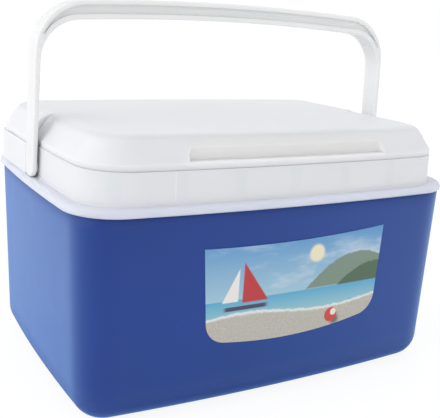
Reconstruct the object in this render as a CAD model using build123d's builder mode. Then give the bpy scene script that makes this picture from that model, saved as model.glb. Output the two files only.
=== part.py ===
"""Small insulated carrier box: a foam-filled tub with a white rim, a lift-off plug lid and a bail handle.

Frame: +X along the long side, -Y is the front, +Z is up, origin at the middle of the base. Millimetres.
"""
import os
from math import atan2, degrees, radians, tan

from build123d import *

os.makedirs("parts", exist_ok=True)

# ---------------------------------------------------------------- driving sizes
# Outer tub, measured at its top edge, and how much it narrows towards the base
tub_half_length = 156.1
tub_half_width = 107.5
tub_corner = 26.0
end_bulge = 3.7            # how far the short walls bulge at their middle
long_bulge = 7.25          # how far the long walls bulge at their middle
tub_draft = 2.4            # each wall moves in by this at the base
base_round = 22.0
base_slant = 13.0          # the inside of the wall cuts the same corner straight
tub_wall = 2.5             # at the base; it thickens by the draft up to the top edge
tub_height = 154.4
foot_ring_width = 14.0     # the box stands on a ring, and the base is recessed inside it
foot_recess = 1.5
recess_corner = 13.0

# White rim: a lip that caps the tub, a ledge on it, and a collar that carries the lid
lip_overhang = 3.9
lip_corner = 37.0
lip_drop = 3.6             # how far the lip hangs down over the tub
lip_top_round = 3.4
lip_bottom_slant = 1.2
lip_fit = 0.1
ledge_thickness = 2.1
collar_height = 22.5       # from the ledge to the seat of the lid
collar_draft = 0.8
collar_corner = 36.0
front_ledge = 7.55         # from the lip's edge to the collar, at the middle of the front
flare = 1.0                # the foot of the collar widens by this onto the ledge
rim_wall = 2.2
rear_end_ledge = 0.2       # behind the bail the collar stands out nearly to the edge of the lip
rear_ledge = 5.0           # from the lip's edge to the collar, at the back
rear_end_bulge = 0.6
rear_corner = 34.0

# Insulated cavity
wall_total = 15.0          # tub, foam and liner together, at the top
cavity_corner = 22.0
cavity_slant = 9.0         # its walls slant in to meet the floor
mouth_slant = 1.0
liner_wall = 2.0
floor_foam = 10.0

# Bail handle: a flat strip that grows into a deep channelled bar. Standing up, its outlines are given
# by their height over the pivot; folded forward it lies on the ledge, round the front of the collar.
pivot_forward = 2.2        # the pivot is this far in front of the middle of the strip
strip_width = 18.0
leg_thickness = 3.8
bar_depth = 13.6
bail_side_ledge = 3.6      # from the lip's edge to the inner faces of the legs, at the pivot
bail_narrowing = 4.7       # each leg leans in by this, up to the corners of the bar
bail_arch = 5.8            # rise of the bar from its corners to its middle
inner_bend = 30.0
outer_bend = 39.0
channel_flange = 3.4
channel_depth = 2.5
bail_edge_break = 0.8
heel_round = 6.0
rest_gap = 0.2             # between the bail and the ledge
bail_gap = 0.8             # between the folded bar and the foot of the collar
leg_gap = 1.7              # between the legs and the collar, at the pivot
step_gap = 0.6             # between the upright bail and the step behind it
stud_radius = 3.2
stud_length = 5.0
stud_play = 0.05
stud_end_play = 0.4
spacer_border = 2.0        # flat of the leg left round the spacer that keeps it off the collar
spacer_gap = 0.35
socket_wall = 3.0
socket_end = 1.6

# Lid
lid_gap = 0.1              # hairline between the collar and the lid
lid_step = 0.6             # the lid's front edge stands in from the collar by this
lid_rear_step = 1.7        # and so does its rear edge
lid_edge_height = 4.0
lid_height = 22.0          # from the seat of the lid to its top
lid_slope = 34.2           # degrees from upright
shoulder_round = 13.0
lid_wall = 2.6
plug_depth = 16.0
plug_fit = 1.2
plug_slant = 1.5           # lead-in round the plug's lower edge
flange_thickness = 2.2
flange_fit = 0.1
grip_half_length = 83.0    # finger grip along the front slope of the lid
grip_floor = 5.2           # height of its floor over the seat of the lid
grip_depth = 6.5
grip_corner = 5.0

# Label on the front wall
label_thickness = 0.4
label_middle = 7.1
label_from_top = 27.7      # from the tub's top edge to the line between the label's upper corners
label_height = 77.1
label_top_half = 78.9
label_foot_half = 75.3
label_top_sag = 2.4        # how far the upper edge hangs at its middle
label_sag = 7.3            # how far the lower edge hangs at its middle
label_foot_round = 17.0
label_tilt = 1.4

# ---------------------------------------------------------------- derived sizes
ledge = tub_height + ledge_thickness
seat = ledge + collar_height
lip_bottom = tub_height - lip_drop
lip_half_length = tub_half_length + lip_overhang
lip_half_width = tub_half_width + lip_overhang
cavity_floor = foot_recess + tub_wall + floor_foam + liner_wall
pivot_y = -pivot_forward
back_y = strip_width / 2
step_y = back_y + step_gap
toe = back_y - pivot_forward
pivot_height = ledge + rest_gap + toe
spacer_radius = toe - bail_edge_break - spacer_border
bail_span = lip_half_length - bail_side_ledge
bail_top_span = bail_span - bail_narrowing
bail_reach = lip_half_width + long_bulge - front_ledge + bail_gap - pivot_forward
bail_corner_rise = bail_reach - bail_arch
bail_lean = bail_narrowing / bail_corner_rise
front_half_length = bail_top_span - leg_gap
front_half_width = bail_corner_rise + pivot_forward - bail_gap
rear_half_length = lip_half_length - rear_end_ledge
rear_half_width = lip_half_width - rear_ledge
socket_radius = stud_radius + stud_play
socket_depth = leg_gap + stud_length + stud_end_play
lid_bottom = seat + lid_gap
slope_start = seat + lid_edge_height
lid_front_inset = collar_draft + lid_step
lid_rear_inset = collar_draft + lid_rear_step
beyond = 4 * tub_half_length


# ---------------------------------------------------------------- outlines
def bowed_face(half_x, half_y, bow_x, bow_y, corner):
    """A rectangle with four bulging sides and rounded corners."""
    with BuildSketch() as face:
        with BuildLine():
            ThreePointArc((-half_x, -half_y), (0, -half_y - bow_y), (half_x, -half_y))
            ThreePointArc((half_x, -half_y), (half_x + bow_x, 0), (half_x, half_y))
            ThreePointArc((half_x, half_y), (0, half_y + bow_y), (-half_x, half_y))
            ThreePointArc((-half_x, half_y), (-half_x - bow_x, 0), (-half_x, -half_y))
        make_face()
        fillet(face.vertices(), corner)
    return face.sketch


def tub_face(inset):
    """Top outline of the tub, moved in by inset."""
    half_x = tub_half_length - inset
    half_y = tub_half_width - inset
    return bowed_face(half_x, half_y, end_bulge, long_bulge, tub_corner - inset)


def cavity_face(inset):
    """Outline of the cavity's mouth, moved in by inset."""
    half_x = tub_half_length - wall_total - inset
    half_y = tub_half_width - wall_total - inset
    return bowed_face(half_x, half_y, end_bulge, long_bulge, cavity_corner - inset)


def bail_face(spread, rise, bend, below):
    """The bail's inner outline over its pivot, moved out sideways by spread and up by rise."""
    side = bail_top_span + spread
    top = bail_corner_rise + rise
    foot = bail_span + spread + bail_lean * below
    with BuildSketch() as face:
        with BuildLine():
            Polyline((-side, top), (-foot, -below), (foot, -below), (side, top))
            ThreePointArc((side, top), (0, top + bail_arch), (-side, top))
        make_face()
        fillet(face.vertices().group_by(Axis.Y)[-1], bend)
    return face.sketch


def front_face(inset):
    """Outline of the collar in front of the step, inside the folded bail, moved in by inset."""
    half_x = front_half_length - inset
    half_y = front_half_width - inset
    return bowed_face(half_x, half_y, bail_narrowing, bail_arch, collar_corner - inset)


def rear_face(inset):
    """Outline of the collar as it stands behind the step, moved in by inset."""
    half_x = rear_half_length - inset
    half_y = rear_half_width - inset
    return bowed_face(half_x, half_y, rear_end_bulge, long_bulge, rear_corner - inset)


# ---------------------------------------------------------------- forms shared by the pieces
def risen_form(face, low, high, draft, top_round=None, top_slant=None):
    """A form that stands on an outline at low and narrows by draft up to high, its top edge cut back."""
    with BuildPart() as form:
        with BuildSketch(Plane.XY.offset(low)):
            add(face)
        extrude(amount=high - low, taper=degrees(atan2(draft, high - low)))
        if top_round:
            fillet(form.edges().group_by(Axis.Z)[-1], top_round)
        if top_slant:
            chamfer(form.edges().group_by(Axis.Z)[-1], top_slant)
    return form.part


def sunk_form(face, low, high, draft, floor_round=None, floor_slant=None):
    """A form that hangs from an outline at high and narrows by draft down to low."""
    risen = risen_form(face, 0, high - low, draft, floor_round, floor_slant)
    with BuildPart() as form:
        with Locations(Location((0, 0, high), (180, 0, 0))):
            add(risen)
    return form.part


def tub_form(outset=0):
    """The tub's outside moved out by outset, its base rounded."""
    return sunk_form(tub_face(-outset), 0, tub_height, tub_draft, base_round + outset)


def cavity_form(inset, low, high, floor_slant=None):
    """The cavity moved in by inset, from low to high; its walls stand upright."""
    return sunk_form(cavity_face(inset), low, high, 0, floor_slant=floor_slant)


def halves(low, high, front_inset, rear_inset, draft, wall, shoulder=None):
    """Front and rear of the collar or the lid, cut at the step plus wall, and joined."""
    front = risen_form(front_face(front_inset), low, high, draft, shoulder)
    rear = risen_form(rear_face(rear_inset), low, high, draft, shoulder)
    cut = Plane.XZ.offset(-step_y - wall)
    with BuildPart() as front_half:
        add(front)
        split(bisect_by=cut, keep=Keep.TOP)
    with BuildPart() as rear_half:
        add(rear)
        split(bisect_by=cut, keep=Keep.BOTTOM)
    with BuildPart() as form:
        add(front_half.part)
        add(rear_half.part)
    return form.part


def lid_form(inset, shoulder=None):
    """The lid's outside, its finger grip included, moved in by inset all round."""
    front = lid_front_inset + inset
    rear = lid_rear_inset + inset
    rise = lid_height - lid_edge_height - inset
    run = rise * tan(radians(lid_slope))
    edge = halves(lid_bottom, slope_start, front, rear, 0, inset)
    dome = halves(slope_start, slope_start + rise, front, rear, run, inset, shoulder)
    kept = front_face(front + grip_depth)
    with BuildPart() as form:
        add(edge)
        add(dome)
        with BuildSketch(Plane.XY.offset(seat + grip_floor - inset)) as grip:
            with Locations((0, -rear_half_width)):
                Rectangle(2 * (grip_half_length + inset), rear_half_width)
            add(kept, mode=Mode.SUBTRACT)
            fillet(grip.vertices().group_by(Axis.Y)[-1], grip_corner)
        extrude(amount=lid_height, mode=Mode.SUBTRACT)
    return form.part


outer_tub = tub_form()
foam_tub = sunk_form(tub_face(tub_wall + tub_draft), foot_recess + tub_wall, tub_height, 0,
                     floor_slant=base_slant)
cavity = cavity_form(0, cavity_floor, seat + rim_wall, cavity_slant)
liner_slant = cavity_slant + liner_wall / 2
liner_outside = cavity_form(-liner_wall, cavity_floor - liner_wall, seat, liner_slant)
collar = halves(tub_height, seat, 0, 0, collar_draft, 0)
with BuildPart() as collar_flare:
    add(risen_form(front_face(-flare), ledge, ledge + flare, flare))
    split(bisect_by=Plane.XZ.offset(-step_y), keep=Keep.TOP)
foam_inset = rim_wall + collar_draft
foam_collar = halves(tub_height, seat - rim_wall, foam_inset, foam_inset, 0, rim_wall)

# ---------------------------------------------------------------- outer tub
foot_inset = base_round + foot_ring_width
recess_face = bowed_face(
    tub_half_length - tub_draft - foot_inset,
    tub_half_width - tub_draft - foot_inset,
    end_bulge,
    long_bulge,
    recess_corner,
)
with BuildPart() as outer_shell:
    add(outer_tub)
    add(foam_tub, mode=Mode.SUBTRACT)
    with BuildSketch(Plane.XY):
        add(recess_face)
    extrude(amount=foot_recess, mode=Mode.SUBTRACT)
outer_shell.part.label = "outer_shell"

# ---------------------------------------------------------------- rim, collar and inner liner
lip_face = bowed_face(lip_half_length, lip_half_width, end_bulge, long_bulge, lip_corner)
skirt_face = tub_face(-lip_fit)
with BuildPart() as rim_liner:
    with BuildSketch(Plane.XY.offset(lip_bottom)):
        add(lip_face)
    extrude(amount=ledge - lip_bottom)
    fillet(rim_liner.edges().group_by(Axis.Z)[-1], lip_top_round)
    chamfer(rim_liner.edges().group_by(Axis.Z)[0], lip_bottom_slant)
    with BuildSketch(Plane.XY.offset(lip_bottom)):
        add(skirt_face)
    extrude(amount=lip_drop, mode=Mode.SUBTRACT)
    add(collar)
    add(collar_flare.part)
    add(foam_collar, mode=Mode.SUBTRACT)
    # Blind sockets for the bail's studs
    for side in (-1, 1):
        with BuildSketch(Plane.YZ.offset(side * (bail_span - leg_gap - rim_wall))):
            with Locations((pivot_y, pivot_height)):
                Circle(socket_radius + socket_wall)
        extrude(amount=-side * (stud_length + stud_end_play + socket_end - rim_wall))
        with BuildSketch(Plane.YZ.offset(side * bail_span)):
            with Locations((pivot_y, pivot_height)):
                Circle(socket_radius)
        extrude(amount=-side * socket_depth, mode=Mode.SUBTRACT)
    add(liner_outside)
    add(cavity, mode=Mode.SUBTRACT)
    chamfer(rim_liner.edges(Select.NEW).group_by(Axis.Z)[-1], mouth_slant)
rim_liner.part.label = "rim_liner"

# ---------------------------------------------------------------- foam of the body
with BuildPart() as body_insulation:
    add(foam_tub)
    add(foam_collar)
    add(liner_outside, mode=Mode.SUBTRACT)
    for side in (-1, 1):
        with BuildSketch(Plane.YZ.offset(side * beyond)):
            with Locations((pivot_y, pivot_height)):
                Circle(socket_radius + socket_wall)
        reach = bail_span - leg_gap - stud_length - stud_end_play - socket_end
        extrude(amount=-side * (beyond - reach), mode=Mode.SUBTRACT)
body_insulation.part.label = "body_insulation"

# ---------------------------------------------------------------- label on the front wall
grown_tub = tub_form(label_thickness)
label_side = label_height - label_sag
with BuildSketch() as label_outline:
    with BuildLine():
        Line((-label_foot_half, -label_side), (-label_top_half, 0))
        ThreePointArc((-label_top_half, 0), (0, -label_top_sag), (label_top_half, 0))
        Line((label_top_half, 0), (label_foot_half, -label_side))
        ThreePointArc((label_foot_half, -label_side), (0, -label_height), (-label_foot_half, -label_side))
    make_face()
    fillet(label_outline.vertices().group_by(Axis.Y)[0], label_foot_round)
with BuildPart() as front_label:
    with BuildSketch(Plane.XZ):
        with Locations(Location((label_middle, tub_height - label_from_top, 0), (0, 0, label_tilt))):
            add(label_outline.sketch)
    extrude(amount=beyond)
    add(grown_tub, mode=Mode.INTERSECT)
    add(outer_tub, mode=Mode.SUBTRACT)
front_label.part.label = "front_label"

# ---------------------------------------------------------------- lid
lid_outside = lid_form(0, shoulder_round)
lid_inside = lid_form(lid_wall)
with BuildPart() as lid_cover:
    add(lid_outside)
    add(lid_inside, mode=Mode.SUBTRACT)
lid_cover.part.label = "lid_cover"

flange_inset = lid_wall + flange_fit
flange = halves(seat, seat + flange_thickness, lid_front_inset + flange_inset, lid_rear_inset + flange_inset,
                0, lid_wall + flange_fit)
plug = cavity_form(plug_fit, seat - plug_depth, seat, plug_slant)
plug_floor = seat - plug_depth + liner_wall
plug_inside = cavity_form(plug_fit + liner_wall, plug_floor, seat + flange_thickness)
with BuildPart() as lid_liner:
    add(flange)
    add(plug)
    add(plug_inside, mode=Mode.SUBTRACT)
lid_liner.part.label = "lid_liner"

with BuildPart() as lid_insulation:
    add(lid_inside)
    with BuildSketch(Plane.XY.offset(seat)):
        Rectangle(beyond, beyond)
    extrude(amount=flange_thickness, mode=Mode.SUBTRACT)
    add(plug_inside)
lid_insulation.part.label = "lid_insulation"

# ---------------------------------------------------------------- bail handle
bail_plane = Plane((0, back_y, pivot_height), x_dir=(1, 0, 0), z_dir=(0, -1, 0))
bail_outside = bail_face(leg_thickness, bar_depth, outer_bend, toe)
bail_inside = bail_face(0, 0, inner_bend, toe)
channel_outside = bail_face(leg_thickness - channel_flange, bar_depth - channel_flange,
                            outer_bend - channel_flange, toe)
channel_inside = bail_face(channel_flange, channel_flange, inner_bend + channel_flange, toe)
with BuildPart() as carry_handle:
    with BuildSketch(bail_plane):
        add(bail_outside)
        add(bail_inside, mode=Mode.SUBTRACT)
    extrude(amount=strip_width)
    feet = carry_handle.edges().filter_by(Axis.X).group_by(Axis.Z)[0]
    fillet(feet.group_by(Axis.Y)[-1], heel_round)
    fillet(feet.group_by(Axis.Y)[0], toe)
    sides = carry_handle.edges().group_by(Axis.Y)
    chamfer(sides[0] + sides[-1], bail_edge_break)
    for face_y, inward in ((-back_y, 1), (back_y, -1)):
        with BuildSketch(Plane((0, face_y, pivot_height), x_dir=(1, 0, 0), z_dir=(0, -1, 0))):
            add(channel_outside)
            add(channel_inside, mode=Mode.SUBTRACT)
        extrude(amount=-inward * channel_depth, mode=Mode.SUBTRACT)
    for side in (-1, 1):
        for radius, end_gap in ((spacer_radius, spacer_gap), (stud_radius, -stud_length)):
            with BuildSketch(Plane.YZ.offset(side * (bail_span + leg_thickness / 2))):
                with Locations((pivot_y, pivot_height)):
                    Circle(radius)
            extrude(amount=-side * (leg_thickness / 2 + leg_gap - end_gap))
carry_handle.part.label = "carry_handle"

for piece in (outer_shell, rim_liner, body_insulation, front_label, lid_cover, lid_liner, lid_insulation,
              carry_handle):
    export_step(piece.part, f"parts/{piece.part.label}.step")
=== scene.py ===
"""Looks of the insulated carrier box: its moulded plastics, its foam, the printed film on its front, and a
plain white studio. Metres, in the CAD's frame: +X along the box, -Y the front, +Z up."""
from math import cos, radians, sin

import bpy
from mathutils import Matrix, Vector


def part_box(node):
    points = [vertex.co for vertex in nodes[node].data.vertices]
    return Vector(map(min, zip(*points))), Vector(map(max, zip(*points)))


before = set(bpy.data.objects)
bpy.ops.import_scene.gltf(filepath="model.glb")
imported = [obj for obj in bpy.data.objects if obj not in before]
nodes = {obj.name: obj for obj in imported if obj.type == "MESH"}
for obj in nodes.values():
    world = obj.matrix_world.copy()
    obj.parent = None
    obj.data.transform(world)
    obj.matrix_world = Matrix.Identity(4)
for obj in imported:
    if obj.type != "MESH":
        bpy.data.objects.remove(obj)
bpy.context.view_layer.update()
scene = bpy.context.scene

# Heights that the zones of the white mouldings are measured from
tub_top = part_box("outer_shell")[1].z
lid_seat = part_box("lid_cover")[0].z


# ---------------------------------------------------------------- node helpers
def new_material(name):
    material = bpy.data.materials.new(name)
    material.use_nodes = True
    tree = material.node_tree
    shader = tree.nodes["Principled BSDF"]
    return material, tree, shader


def node(tree, kind, **values):
    """A node of that kind with its inputs or properties set."""
    made = tree.nodes.new(kind)
    for key, value in values.items():
        if key in made.inputs:
            made.inputs[key].default_value = value
        else:
            setattr(made, key, value)
    return made


def object_point(tree):
    return tree.nodes.new("ShaderNodeTexCoord").outputs["Object"]


def place_of(tree):
    """Across, along and up sockets of the point that is shaded."""
    split = tree.nodes.new("ShaderNodeSeparateXYZ")
    tree.links.new(object_point(tree), split.inputs["Vector"])
    return split.outputs["X"], split.outputs["Y"], split.outputs["Z"]


def noise(tree, scale, detail=3.0, roughness=0.5, point=None):
    """Soft noise with about scale features to the metre."""
    made = node(tree, "ShaderNodeTexNoise", Scale=scale, Detail=detail, Roughness=roughness)
    if point is None:
        point = object_point(tree)
    tree.links.new(point, made.inputs["Vector"])
    return made.outputs["Fac"]


def ramp(tree, source, start, end):
    """Colour between two (position, colour) stops."""
    made = tree.nodes.new("ShaderNodeValToRGB")
    for element, (position, colour) in zip(made.color_ramp.elements, (start, end)):
        element.position = position
        element.color = colour
    tree.links.new(source, made.inputs["Fac"])
    return made.outputs["Color"]


def mottled(tree, scale, dark, light, detail=3.0):
    """Soft patches of two colours; the noise seldom leaves 0.3 to 0.7."""
    return ramp(tree, noise(tree, scale, detail), (0.3, dark), (0.7, light))


def bump(tree, source, strength, distance, under=None):
    made = node(tree, "ShaderNodeBump", Strength=strength, Distance=distance)
    tree.links.new(source, made.inputs["Height"])
    if under is not None:
        tree.links.new(under, made.inputs["Normal"])
    return made.outputs["Normal"]


def map_range(tree, source, low, high):
    """0 to 1 turned into low to high."""
    made = tree.nodes.new("ShaderNodeMapRange")
    made.inputs["To Min"].default_value = low
    made.inputs["To Max"].default_value = high
    tree.links.new(source, made.inputs["Value"])
    return made.outputs["Result"]


def arithmetic(tree, operation, first, second=0.0):
    """One sum on sockets or plain numbers."""
    made = node(tree, "ShaderNodeMath", operation=operation)
    for value, socket in zip((first, second), made.inputs):
        if isinstance(value, (int, float)):
            socket.default_value = value
        else:
            tree.links.new(value, socket)
    return made.outputs["Value"]


def product(tree, *factors):
    whole = factors[0]
    for factor in factors[1:]:
        whole = arithmetic(tree, "MULTIPLY", whole, factor)
    return whole


def share(tree, value, start, length):
    """How far the value lies past start, as a share of that length."""
    return arithmetic(tree, "DIVIDE", arithmetic(tree, "SUBTRACT", value, start), length)


def step_up(tree, source, low, high):
    """0 under low, 1 over high and smooth between; with low over high it steps down."""
    made = node(tree, "ShaderNodeMapRange", interpolation_type="SMOOTHSTEP")
    made.inputs["From Min"].default_value = low
    made.inputs["From Max"].default_value = high
    tree.links.new(source, made.inputs["Value"])
    return made.outputs["Result"]


def band(tree, source, low, high, soft):
    """1 between low and high, with edges that reach soft to either side."""
    return product(tree, step_up(tree, source, low - soft, low + soft),
                   step_up(tree, source, high + soft, high - soft))


def laid_over(tree, under, colour, mask, blend="MIX"):
    """Colour laid over what is under it, or multiplied into it, where the mask is 1."""
    made = node(tree, "ShaderNodeMix", data_type="RGBA", blend_type=blend)
    colours = [socket for socket in made.inputs if socket.type == "RGBA"]
    tree.links.new(mask, made.inputs["Factor"])
    for value, socket in zip((under, colour), colours):
        if isinstance(value, tuple):
            socket.default_value = value
        else:
            tree.links.new(value, socket)
    return next(socket for socket in made.outputs if socket.type == "RGBA")


# ---------------------------------------------------------------- moulded plastic
DRIFT_SCALE = 9.0
ROUGHNESS_SCALE = 60.0
ROUGHNESS_SPREAD = 0.05
WAVE_SCALE = 14.0
WAVE_STRENGTH = 0.25
WAVE_HEIGHT = 0.0006
GRAIN_SCALE = 1400.0
GRAIN_HEIGHT = 0.00004
SCUFF_ROUGHNESS = 0.5
EASING_SAMPLES = 12
HAZE_ROUGHNESS = 0.5
HAZE_TINT = (0.24, 0.48, 1.0, 1)
SCATTER_WEIGHT = 0.8
SCATTER_RADIUS = (1.0, 0.95, 0.9)      # of red, green and blue light, as shares of the depth


def moulded_plastic(name, dark, light, roughness, specular, grain,
                    depth=0.0, haze=0.0, tones=(), scuffed=None, easing=0.0):
    """Moulded plastic: slow drift of colour, a fine grain in its skin and faint waviness of its walls.

    Light enters a pale plastic to about depth, which softens its shadows and its joints. Haze is the pale
    bloom on a wall seen at a low angle. Tones are functions that give a mask for the tree, each with the
    colour that multiplies the plastic there. Scuffed is such a function too, for the place where use has
    rubbed the gloss off. Easing is the radius to which the shading of corners is rounded."""
    material, tree, shader = new_material(name)
    colour = mottled(tree, DRIFT_SCALE, dark, light, detail=2.0)
    for mask, tone in tones:
        colour = laid_over(tree, colour, tone, mask(tree), "MULTIPLY")
    tree.links.new(colour, shader.inputs["Base Color"])

    rough = map_range(tree, noise(tree, ROUGHNESS_SCALE),
                      roughness - ROUGHNESS_SPREAD, roughness + ROUGHNESS_SPREAD)
    if scuffed:
        rubbed = arithmetic(tree, "MULTIPLY", scuffed(tree), SCUFF_ROUGHNESS)
        rough = arithmetic(tree, "ADD", rough, rubbed)
    tree.links.new(rough, shader.inputs["Roughness"])

    eased = None
    if easing:
        eased = node(tree, "ShaderNodeBevel", Radius=easing, samples=EASING_SAMPLES).outputs["Normal"]
    wavy = bump(tree, noise(tree, WAVE_SCALE, detail=1.0), WAVE_STRENGTH, WAVE_HEIGHT, eased)
    grained = bump(tree, noise(tree, GRAIN_SCALE, detail=2.0), grain, GRAIN_HEIGHT, wavy)
    tree.links.new(grained, shader.inputs["Normal"])

    shader.inputs["Specular IOR Level"].default_value = specular
    if haze:
        shader.inputs["Sheen Weight"].default_value = haze
        shader.inputs["Sheen Roughness"].default_value = HAZE_ROUGHNESS
        shader.inputs["Sheen Tint"].default_value = HAZE_TINT
    if depth:
        shader.inputs["Subsurface Weight"].default_value = SCATTER_WEIGHT
        shader.inputs["Subsurface Radius"].default_value = SCATTER_RADIUS
        shader.inputs["Subsurface Scale"].default_value = depth
    return material


# ---------------------------------------------------------------- zones of the plastics
# A fade is a pair of places or distances: the mask is 0 at the first and 1 at the second
ZONE_SOFT = 0.0006
ZONE_END_SOFT = 0.001
FRONT_FADE = (0.0, -0.01)

LIP_FOOT = tub_top - 0.0064            # clear of the lip's lower edge
LIP_TOP = tub_top + 0.0024             # just over the ledge
COLLAR_FOOT = tub_top + 0.0056         # over the flare at the collar's foot
COLLAR_TOP = lid_seat - 0.0011
LONG_SIDE_FADE = (0.096, 0.099)        # to the front or the back, where the collar's corners end
# Pitch and fade of the bands of painted shade along the collar
RIB_SHADE_PITCH = 0.0447
RIB_SHADE_FADE = (0.0055, 0.0035)
MOULD_LINE_ACROSS = -0.0933
MOULD_LINE_FADE = (0.0007, 0.0003)

GRIP_HALF_LENGTH = 0.083
GRIP_FOOT = lid_seat + 0.0047
GRIP_TOP = lid_seat + 0.0189
GRIP_FADE = (-0.07, -0.085)            # the front slope of the lid lies beyond these

SCUFF_SCALE = 90.0
SCUFF_UNEVENNESS = 0.006
SCUFF_FADE = (0.024, 0.002)


def lip_shade_zone(tree):
    """The lip, painted a little darker and bluer: painted shade."""
    return band(tree, place_of(tree)[2], LIP_FOOT, LIP_TOP, ZONE_SOFT)


def collar_skin(tree, along, up):
    """The long sides of the collar, up to where its corners turn."""
    to_side = arithmetic(tree, "ABSOLUTE", along)
    return product(tree, band(tree, up, COLLAR_FOOT, COLLAR_TOP, ZONE_END_SOFT),
                   step_up(tree, to_side, *LONG_SIDE_FADE))


def rib_shade_zone(tree):
    """Faint upright bands of painted shade, darker and a little cyan, along the collar."""
    across, along, up = place_of(tree)
    off_shade_band = arithmetic(tree, "PINGPONG", across, RIB_SHADE_PITCH / 2)
    return product(tree, collar_skin(tree, along, up), step_up(tree, off_shade_band, *RIB_SHADE_FADE))


def mould_line_highlight_zone(tree):
    """The hairline that the mould has left on the front of the collar, as a painted highlight lighter than
    the plastic round it.
    """
    across, along, up = place_of(tree)
    off_line = arithmetic(tree, "ABSOLUTE", arithmetic(tree, "SUBTRACT", across, MOULD_LINE_ACROSS))
    return product(tree, collar_skin(tree, along, up), step_up(tree, along, *FRONT_FADE),
                   step_up(tree, off_line, *MOULD_LINE_FADE))


def grip_shade_zone(tree):
    """The finger grip along the front of the lid, whose recess gets a faint warm painted shade."""
    across, along, up = place_of(tree)
    return product(tree, band(tree, across, -GRIP_HALF_LENGTH, GRIP_HALF_LENGTH, ZONE_END_SOFT),
                   band(tree, up, GRIP_FOOT, GRIP_TOP, ZONE_SOFT), step_up(tree, along, *GRIP_FADE))


def foot_zone(tree):
    """The rounded foot of the tub, which rubs on what the box stands on; the scuffs end unevenly."""
    uneven = arithmetic(tree, "MULTIPLY", noise(tree, SCUFF_SCALE), SCUFF_UNEVENNESS)
    return step_up(tree, arithmetic(tree, "ADD", place_of(tree)[2], uneven), *SCUFF_FADE)


# ---------------------------------------------------------------- foam
BEAD_SCALE = 260.0
SEAM_COLOUR = (0.62, 0.58, 0.48, 1)
BEAD_COLOUR = (0.86, 0.83, 0.74, 1)
SEAM_WIDTH = 0.12                      # as a share of a bead
BEAD_STRENGTH = 0.5
BEAD_HEIGHT = 0.0006
FOAM_ROUGHNESS = 0.85


def foam_material():
    """Rigid foam: packed beads with fine seams between them."""
    material, tree, shader = new_material("foam")
    beads = node(tree, "ShaderNodeTexVoronoi", Scale=BEAD_SCALE, feature="DISTANCE_TO_EDGE")
    tree.links.new(object_point(tree), beads.inputs["Vector"])
    off_seam = beads.outputs["Distance"]
    colour = ramp(tree, off_seam, (0.0, SEAM_COLOUR), (SEAM_WIDTH, BEAD_COLOUR))
    tree.links.new(colour, shader.inputs["Base Color"])
    tree.links.new(bump(tree, off_seam, BEAD_STRENGTH, BEAD_HEIGHT), shader.inputs["Normal"])
    shader.inputs["Roughness"].default_value = FOAM_ROUGHNESS
    return material


# ---------------------------------------------------------------- printed film
def srgb(red, green, blue):
    """A screen colour of 0 to 255 as the linear colour that shaders take."""
    return tuple(((channel / 255 + 0.055) / 1.055) ** 2.4 for channel in (red, green, blue)) + (1.0,)


SKY_LOW = srgb(160, 196, 214)
SKY_HIGH = srgb(88, 148, 200)
CLOUD = srgb(205, 220, 228)
SUN = srgb(235, 226, 196)
FAR_HILL = srgb(122, 142, 128)
NEAR_HILL = srgb(78, 104, 80)
SHALLOWS = srgb(150, 196, 202)
FAR_SEA = srgb(84, 166, 206)
SURF = srgb(226, 230, 228)
SAND_DARK = srgb(176, 172, 162)
SAND_LIGHT = srgb(198, 194, 184)
MAIN_SAIL = srgb(188, 52, 58)
FORE_SAIL = srgb(232, 230, 226)
HULL = srgb(70, 66, 92)
BALL_SHADOW = srgb(110, 108, 104)
BALL = srgb(206, 70, 60)
BALL_SPOT = srgb(236, 232, 222)

# Places on the film run from 0 to 1 across it and up it, and its fades work as those of the zones do
HORIZON = 0.45
HORIZON_SOFT = 0.012
SHALLOWS_UP = 0.24
RAGGED_SCALE = 220.0
RAGGED_HEIGHT = 0.05
CLOUD_SCALE = (14.0, 14.0, 46.0)       # to the metre along each axis, so clouds lie level
CLOUD_FADE = (0.48, 0.72)
CLOUD_THINNING = (1.2, 0.6)
HILL_TOP_FADE = (0.0, 0.02)
HILL_FOOT_SOFT = 0.01
SAIL_SIDE_FADE = (0.0, 0.06)
SAIL_FOOT_FADE = (0.0, 0.04)
HULL_FOOT_FADE = (0.335, 0.345)
HULL_TOP_FADE = (0.385, 0.375)
HULL_LEFT_FADE = (0.10, 0.13)
HULL_RIGHT_FADE = (0.35, 0.32)
SHORE_WAVES = 7.0
SHORE_WAVE_HEIGHT = 0.035
SURF_FADE = (-0.265, -0.245)
SAND_FADE = (-0.245, -0.215)
SAND_SCALE = 900.0
FILM_ROUGHNESS_SCALE = 40.0
FILM_ROUGHNESS = (0.30, 0.40)
FILM_WAVE_SCALE = 30.0
FILM_WAVE_STRENGTH = 0.3
FILM_WAVE_HEIGHT = 0.0003


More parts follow.
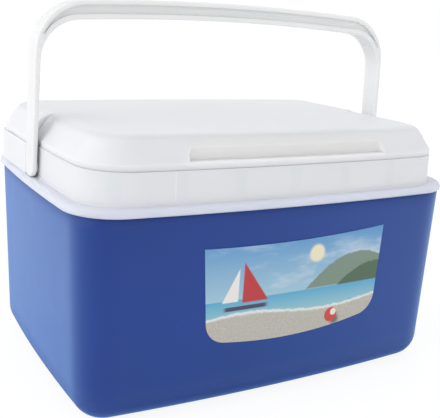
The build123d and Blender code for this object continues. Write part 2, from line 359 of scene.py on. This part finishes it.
class Shore:
    """A made-up shore on the film. Its methods give the masks of the motifs; beach is the measure that surf
    and sand are masked by."""

    def __init__(self, tree):
        low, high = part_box("front_label")
        width = high.x - low.x
        height = high.z - low.z
        x, _, z = place_of(tree)
        self.tree = tree
        self.across = share(tree, x, low.x, width)
        self.up = share(tree, z, low.z, height)
        self.aspect = width / height
        self.ragged = product(tree, noise(tree, RAGGED_SCALE, detail=4.0, roughness=0.7), RAGGED_HEIGHT)

    def clouds(self):
        """Thin level clouds, fewer towards the top."""
        tree = self.tree
        stretched = tree.nodes.new("ShaderNodeMapping")
        stretched.inputs["Scale"].default_value = CLOUD_SCALE
        tree.links.new(object_point(tree), stretched.inputs["Vector"])
        puffs = noise(tree, 1.0, detail=5.0, roughness=0.6, point=stretched.outputs["Vector"])
        return product(tree, step_up(tree, puffs, *CLOUD_FADE), step_up(tree, self.up, *CLOUD_THINNING))

    def disc(self, middle, height, radius, soft):
        tree = self.tree
        side = product(tree, arithmetic(tree, "SUBTRACT", self.across, middle), self.aspect)
        rise = arithmetic(tree, "SUBTRACT", self.up, height)
        squares = [arithmetic(tree, "POWER", length, 2.0) for length in (side, rise)]
        reach = arithmetic(tree, "SQRT", arithmetic(tree, "ADD", *squares))
        return step_up(tree, reach, radius + soft, radius - soft)

    def hill(self, middle, half_width, height, ground):
        """A rounded rise with a ragged top, over the ground."""
        tree = self.tree
        side = share(tree, self.across, middle, half_width)
        crown = arithmetic(tree, "SUBTRACT", 1.0, arithmetic(tree, "POWER", side, 2.0))
        rise = arithmetic(tree, "ADD", product(tree, crown, height), self.ragged)
        under_top = arithmetic(tree, "SUBTRACT", arithmetic(tree, "ADD", rise, ground), self.up)
        return product(tree, step_up(tree, under_top, *HILL_TOP_FADE),
                       step_up(tree, self.up, ground - HILL_FOOT_SOFT, ground + HILL_FOOT_SOFT))

    def sail(self, mast, foot, height, width):
        """A triangle that stands on its foot and slopes away from its mast, to the left for a width
        under 0."""
        tree = self.tree
        out = share(tree, self.across, mast, width)
        rise = share(tree, self.up, foot, height)
        under_slope = arithmetic(tree, "SUBTRACT", 1.0, arithmetic(tree, "ADD", out, rise))
        return product(tree, step_up(tree, out, *SAIL_SIDE_FADE), step_up(tree, rise, *SAIL_FOOT_FADE),
                       step_up(tree, under_slope, *SAIL_SIDE_FADE))

    def hull(self):
        tree = self.tree
        return product(tree, step_up(tree, self.up, *HULL_FOOT_FADE), step_up(tree, self.up, *HULL_TOP_FADE),
                       step_up(tree, self.across, *HULL_LEFT_FADE),
                       step_up(tree, self.across, *HULL_RIGHT_FADE))

    def beach(self):
        """Grows from the sea down to the dry sand; where it is even, it follows a wavy, ragged line."""
        tree = self.tree
        swing = arithmetic(tree, "SINE", product(tree, self.across, SHORE_WAVES))
        line = arithmetic(tree, "ADD", product(tree, swing, SHORE_WAVE_HEIGHT), self.ragged)
        return arithmetic(tree, "SUBTRACT", line, self.up)


def printed_film():
    """Printed film with a made-up shore: sky with thin cloud, a pale sun, hills on the right, sea, sand, a
    small sailing boat on the left, and a ball on the sand."""
    material, tree, shader = new_material("printed_film")
    shore = Shore(tree)
    beach = shore.beach()
    sea = ramp(tree, shore.up, (SHALLOWS_UP, SHALLOWS), (HORIZON, FAR_SEA))
    sand = mottled(tree, SAND_SCALE, SAND_DARK, SAND_LIGHT)
    picture = ramp(tree, shore.up, (HORIZON, SKY_LOW), (1.0, SKY_HIGH))
    for colour, mask in (
        (CLOUD, shore.clouds()),
        (SUN, shore.disc(middle=0.60, height=0.80, radius=0.085, soft=0.02)),
        (FAR_HILL, shore.hill(middle=0.86, half_width=0.30, height=0.30, ground=HORIZON)),
        (NEAR_HILL, shore.hill(middle=0.98, half_width=0.24, height=0.20, ground=HORIZON - 0.02)),
        (sea, step_up(tree, shore.up, HORIZON, HORIZON - HORIZON_SOFT)),
        (SURF, step_up(tree, beach, *SURF_FADE)),
        (sand, step_up(tree, beach, *SAND_FADE)),
        (MAIN_SAIL, shore.sail(mast=0.20, foot=0.40, height=0.42, width=0.15)),
        (FORE_SAIL, shore.sail(mast=0.185, foot=0.42, height=0.34, width=-0.09)),
        (HULL, shore.hull()),
        (BALL_SHADOW, shore.disc(middle=0.745, height=0.085, radius=0.05, soft=0.03)),
        (BALL, shore.disc(middle=0.72, height=0.14, radius=0.075, soft=0.006)),
        (BALL_SPOT, shore.disc(middle=0.735, height=0.165, radius=0.035, soft=0.006)),
    ):
        picture = laid_over(tree, picture, colour, mask)
    tree.links.new(picture, shader.inputs["Base Color"])
    rough = map_range(tree, noise(tree, FILM_ROUGHNESS_SCALE), *FILM_ROUGHNESS)
    tree.links.new(rough, shader.inputs["Roughness"])
    wavy = bump(tree, noise(tree, FILM_WAVE_SCALE, detail=2.0), FILM_WAVE_STRENGTH, FILM_WAVE_HEIGHT)
    tree.links.new(wavy, shader.inputs["Normal"])
    return material


# ---------------------------------------------------------------- finish of each piece
BLUE_DARK = (0.001, 0.029, 0.215, 1)
BLUE_LIGHT = (0.0015, 0.034, 0.245, 1)
WHITE_DARK = (0.795, 0.80, 0.83, 1)
WHITE_LIGHT = (0.825, 0.83, 0.86, 1)
HANDLE_DARK = (0.765, 0.775, 0.78, 1)
HANDLE_LIGHT = (0.795, 0.805, 0.81, 1)
# Painted shade: the lip a little darker and bluer
LIP_SHADE_TONE = (0.81, 0.84, 0.92, 1)
# Painted shade: faint darker, a little cyan, bands along the collar
RIB_SHADE_TONE = (0.965, 0.985, 0.98, 1)
# Painted highlight: the mould's hairline lighter than the collar
MOULD_LINE_HIGHLIGHT = (1.10, 1.10, 1.08, 1)
# Painted shade: a faint warm tint in the grip's recess
GRIP_SHADE_TONE = (1.0, 0.985, 0.95, 1)
WHITE_DEPTH = 0.005
rim_tones = ((lip_shade_zone, LIP_SHADE_TONE), (rib_shade_zone, RIB_SHADE_TONE), (mould_line_highlight_zone, MOULD_LINE_HIGHLIGHT))
lid_tones = ((grip_shade_zone, GRIP_SHADE_TONE),)

blue = moulded_plastic("blue_shell", BLUE_DARK, BLUE_LIGHT, roughness=0.32, specular=0.34, grain=0.12,
                       haze=1.0, scuffed=foot_zone, easing=0.02)
rim_white = moulded_plastic("rim_white", WHITE_DARK, WHITE_LIGHT, roughness=0.36, specular=0.4, grain=0.1,
                            depth=WHITE_DEPTH, tones=rim_tones)
lid_white = moulded_plastic("lid_white", WHITE_DARK, WHITE_LIGHT, roughness=0.42, specular=0.4, grain=0.12,
                            depth=WHITE_DEPTH, tones=lid_tones)
handle_white = moulded_plastic("handle_white", HANDLE_DARK, HANDLE_LIGHT, roughness=0.34, specular=0.4,
                               grain=0.1, depth=WHITE_DEPTH)
foam = foam_material()
film = printed_film()

for name, material in (
    ("outer_shell", blue),
    ("rim_liner", rim_white),
    ("lid_cover", lid_white),
    ("lid_liner", rim_white),
    ("carry_handle", handle_white),
    ("body_insulation", foam),
    ("lid_insulation", foam),
    ("front_label", film),
):
    for slot in nodes[name].material_slots:
        slot.material = material


# ---------------------------------------------------------------- studio
def white(strength):
    return (strength, strength, strength, 1.0)


FLOOR_HALF = 6.0
FLOOR_SCALE = 3.0
FLOOR_DARK = white(0.96)
FLOOR_LIGHT = white(0.98)
FLOOR_GLOW = 1.05
FLOOR_GLOW_SHARE = 0.85


def studio_floor():
    """A pale floor that runs far behind the box; to the camera it glows a little, so its shadow is faint."""
    corners = [(x * FLOOR_HALF, y * FLOOR_HALF, 0) for x, y in ((-1, -1), (1, -1), (1, 1), (-1, 1))]
    mesh = bpy.data.meshes.new("floor")
    mesh.from_pydata(corners, [], [(0, 1, 2, 3)])
    floor = bpy.data.objects.new("floor", mesh)
    scene.collection.objects.link(floor)
    material, tree, shader = new_material("floor")
    tree.links.new(mottled(tree, FLOOR_SCALE, FLOOR_DARK, FLOOR_LIGHT), shader.inputs["Base Color"])
    shader.inputs["Roughness"].default_value = 1.0
    shader.inputs["Specular IOR Level"].default_value = 0.0
    glow = node(tree, "ShaderNodeEmission", Strength=FLOOR_GLOW)
    mixed = tree.nodes.new("ShaderNodeMixShader")
    rays = tree.nodes.new("ShaderNodeLightPath").outputs
    tree.links.new(map_range(tree, rays["Is Camera Ray"], 0.0, FLOOR_GLOW_SHARE), mixed.inputs["Fac"])
    tree.links.new(shader.outputs["BSDF"], mixed.inputs[1])
    tree.links.new(glow.outputs["Emission"], mixed.inputs[2])
    tree.links.new(mixed.outputs["Shader"], tree.nodes["Material Output"].inputs["Surface"])
    mesh.materials.append(material)


def studio_world(soft):
    """Soft light from all round; the camera, mirrors and clear pieces see plain white."""
    world = bpy.data.worlds.new("studio")
    scene.world = world
    world.use_nodes = True
    tree = world.node_tree
    back = tree.nodes["Background"]
    rays = tree.nodes.new("ShaderNodeLightPath").outputs
    direct = arithmetic(tree, "MAXIMUM", rays["Is Camera Ray"], rays["Is Transmission Ray"])
    seen = arithmetic(tree, "MAXIMUM", direct, rays["Is Glossy Ray"])
    tree.links.new(map_range(tree, seen, soft, 1.0), back.inputs["Strength"])
    back.inputs["Color"].default_value = white(1.0)


def far_softbox(name, side, strength, spread):
    """A large soft lamp far off on that side, which lights box and floor evenly; spread is its width in
    degrees."""
    light = bpy.data.lights.new(name, "SUN")
    light.energy = strength
    light.angle = radians(spread)
    lamp = bpy.data.objects.new(name, light)
    lamp.rotation_euler = Vector(side).to_track_quat("Z", "Y").to_euler()
    scene.collection.objects.link(lamp)


# ---------------------------------------------------------------- camera, as the picture was taken
IMAGE_WIDTH = 440
IMAGE_HEIGHT = 418
FOCAL_PIXELS = 732.04
CENTRE_PIXEL = (216.1, 225.392)
CAMERA_HEADING = 0.521394              # radians, turned from +Y towards +X
CAMERA_PITCH = 0.274833                # radians, looking down
CAMERA_ROLL = 0.057639                 # radians
CAMERA_DISTANCE = 0.614037
CAMERA_TARGET = Vector((-0.00652, -0.012488, 0.108611))
CAMERA_FAR_LIMIT = 50.0
SENSOR = 36.0                          # millimetres


def studio_camera():
    """Camera basis from heading, pitch and roll; the principal point gives the small shift."""
    forward = Vector((sin(CAMERA_HEADING) * cos(CAMERA_PITCH), cos(CAMERA_HEADING) * cos(CAMERA_PITCH),
                      -sin(CAMERA_PITCH)))
    level = forward.cross(Vector((0, 0, 1))).normalized()
    upright = level.cross(forward)
    right = cos(CAMERA_ROLL) * level + sin(CAMERA_ROLL) * upright
    up = right.cross(forward)
    lens = bpy.data.cameras.new("camera")
    lens.sensor_width = SENSOR
    lens.lens = FOCAL_PIXELS * SENSOR / IMAGE_WIDTH
    lens.shift_x = (IMAGE_WIDTH / 2 - CENTRE_PIXEL[0]) / IMAGE_WIDTH
    lens.shift_y = (CENTRE_PIXEL[1] - IMAGE_HEIGHT / 2) / IMAGE_WIDTH
    lens.clip_end = CAMERA_FAR_LIMIT
    camera = bpy.data.objects.new("camera", lens)
    place = CAMERA_TARGET - CAMERA_DISTANCE * forward
    camera.matrix_world = Matrix.Translation(place) @ Matrix((right, up, -forward)).transposed().to_4x4()
    scene.collection.objects.link(camera)
    scene.camera = camera


studio_floor()
studio_world(soft=0.76)
far_softbox("key", side=(-0.84, 0.20, 0.50), strength=1.20, spread=75)
far_softbox("fill", side=(0.25, -0.9, 0.30), strength=0.37, spread=60)
studio_camera()
scene.view_settings.view_transform = "Standard"
